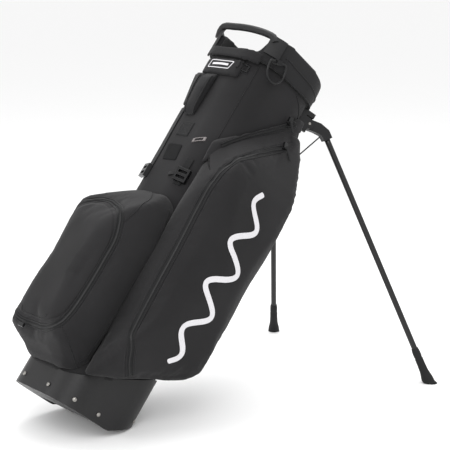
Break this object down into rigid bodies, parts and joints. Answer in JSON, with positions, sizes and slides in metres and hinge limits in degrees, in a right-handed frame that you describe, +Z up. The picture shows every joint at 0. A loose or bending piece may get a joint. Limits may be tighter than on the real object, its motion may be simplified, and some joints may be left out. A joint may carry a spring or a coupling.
{
  "type": "golf stand bag",
  "caption": "Lightweight golf stand bag leaning on two folding legs, with zipped pockets, shoulder straps and a pedal that works the legs",
  "frame": {"origin": "middle of the foot pedal's flat contact face, on the ground under the front edge of the base", "axes": "+Z up, +X the way the bag leans, towards its legs, +Y towards the bag's left side; -Z is the ground contact face's outward normal"},
  "size_m": [0.8797, 0.5528, 0.786],
  "materials": {
    "bag_cloth": "fine woven polyester, charcoal black",
    "strap_cloth": "padded mesh and webbing, black",
    "moulded_plastic": "satin moulded, fine grain",
    "trim_plastic": "semi-gloss",
    "rubber": "matt",
    "steel": "satin",
    "black_steel": "black coated",
    "leg_tube": "woven-look lacquer"
  },
  "bodies": {
    "bag": {"base_cup": "moulded_plastic", "pedal_pin": "steel", "rivet_spine_right": "steel", "rivet_spine_left": "steel", "rivet_rear_corner_right": "steel", "rivet_rear_corner_left": "steel", "rivet_side_right": "steel", "rivet_side_left": "steel", "rivet_front_corner_right": "steel", "rivet_front_corner_left": "steel", "belly_panel": "bag_cloth", "left_panel": "bag_cloth", "spine_panel": "bag_cloth", "right_panel": "bag_cloth", "stay_rod_right": "steel", "stay_rod_left": "steel", "top_cuff": "bag_cloth", "spine_rim_pad": "strap_cloth", "divider_across": "strap_cloth", "divider_front": "strap_cloth", "divider_rear": "strap_cloth", "grab_handle": "moulded_plastic", "towel_ring_tab": "strap_cloth", "right_garment_pocket": "bag_cloth", "right_upper_pocket": "bag_cloth", "left_garment_pocket": "bag_cloth", "left_valuables_pocket": "bag_cloth", "ball_pocket": "bag_cloth", "ball_pocket_panel": "bag_cloth", "hip_pad": "strap_cloth", "strap_pad_right": "strap_cloth", "strap_pad_left": "strap_cloth", "strap_yoke": "strap_cloth", "strap_webbing_right": "strap_cloth", "strap_webbing_left": "strap_cloth", "strap_buckle_right": "trim_plastic", "strap_buckle_left": "trim_plastic", "leg_bracket_right": "moulded_plastic", "leg_hinge_pin_right": "steel", "rod_guide_right": "moulded_plastic", "leg_bracket_left": "moulded_plastic", "leg_hinge_pin_left": "steel", "rod_guide_left": "moulded_plastic"},
    "pedal": {"foot_pedal": "rubber"},
    "towel_ring_body": {"towel_ring": "trim_plastic"},
    "garment_slider": {"garment_zip_slider": "trim_plastic"},
    "garment_pull": {"garment_zip_pull": "strap_cloth"},
    "upper_slider": {"upper_zip_slider": "trim_plastic"},
    "upper_pull": {"upper_zip_pull": "strap_cloth"},
    "ball_slider": {"ball_zip_slider": "trim_plastic"},
    "leg_right": {"leg_elbow_right": "moulded_plastic", "leg_tube_right": "leg_tube", "foot_tip_right": "rubber"},
    "rod_right": {"push_rod_right": "black_steel"},
    "link_right": {"rod_link_right": "black_steel"},
    "leg_left": {"leg_elbow_left": "moulded_plastic", "leg_tube_left": "leg_tube", "foot_tip_left": "rubber"},
    "rod_left": {"push_rod_left": "black_steel"},
    "link_left": {"rod_link_left": "black_steel"}
  },
  "joints": [
    {"name": "leg_fold_right", "type": "hinge", "parent": "bag", "child": "leg_right", "pos_m": [0.47303, -0.0685, 0.57153], "axis": [0.2787, 0.9348, -0.2201], "range_deg": [0, 56.4]},
    {"name": "rod_slide_right", "type": "slide", "parent": "bag", "child": "rod_right", "axis": [-0.651, 0, -0.7591], "range_m": [0, 0.0295]},
    {"name": "link_swing_right", "type": "hinge", "parent": "rod_right", "child": "link_right", "pos_m": [0.39283, -0.07959, 0.48196], "axis": [-0.2787, -0.9348, 0.2201], "range_deg": [0, 12.62]},
    {"name": "leg_fold_left", "type": "hinge", "parent": "bag", "child": "leg_left", "pos_m": [0.47303, 0.0685, 0.57153], "axis": [-0.2787, 0.9348, 0.2201], "range_deg": [0, 56.4]},
    {"name": "rod_slide_left", "type": "slide", "parent": "bag", "child": "rod_left", "axis": [-0.651, 0, -0.7591], "range_m": [0, 0.0295]},
    {"name": "link_swing_left", "type": "hinge", "parent": "rod_left", "child": "link_left", "pos_m": [0.39283, 0.07959, 0.48196], "axis": [0.2787, -0.9348, -0.2201], "range_deg": [0, 12.62]},
    {"name": "pedal_press", "type": "hinge", "parent": "bag", "child": "pedal", "pos_m": [-0.10385, 0, 0.04276], "axis": [0, 1, 0], "range_deg": [0, 17.64]},
    {"name": "towel_ring_swing", "type": "hinge", "parent": "bag", "child": "towel_ring_body", "pos_m": [0.35594, -0.11, 0.7137], "axis": [-0.9291, 0, 0.3697], "range_deg": [0, 85]},
    {"name": "garment_zip_slide", "type": "slide", "parent": "bag", "child": "garment_slider", "axis": [-0.9587, -0.2655, -0.1024], "range_m": [0, 0.1]},
    {"name": "garment_pull_swing", "type": "hinge", "parent": "garment_slider", "child": "garment_pull", "pos_m": [0.35193, -0.1417, 0.54243], "axis": [-1, 0, 0], "range_deg": [0, 50]},
    {"name": "upper_zip_slide", "type": "slide", "parent": "bag", "child": "upper_slider", "axis": [-0.9943, 0, -0.1062], "range_m": [0, 0.08]},
    {"name": "upper_pull_swing", "type": "hinge", "parent": "upper_slider", "child": "upper_pull", "pos_m": [0.385, -0.1166, 0.58753], "axis": [-1, 0, 0], "range_deg": [0, 50]},
    {"name": "ball_zip_slide", "type": "slide", "parent": "bag", "child": "ball_slider", "axis": [0, -1, 0], "range_m": [0, 0.048]}
  ],
  "couplings": [
    {"joint": "leg_fold_left", "follows": "leg_fold_right", "ratio": 1},
    {"joint": "rod_slide_right", "follows": "leg_fold_right", "m_per_rad": 0.029964},
    {"joint": "link_swing_right", "follows": "leg_fold_right", "ratio": 0.22375},
    {"joint": "rod_slide_left", "follows": "leg_fold_right", "m_per_rad": 0.029964},
    {"joint": "link_swing_left", "follows": "leg_fold_right", "ratio": 0.22375},
    {"joint": "pedal_press", "follows": "leg_fold_right", "ratio": 0.31276}
  ]
}
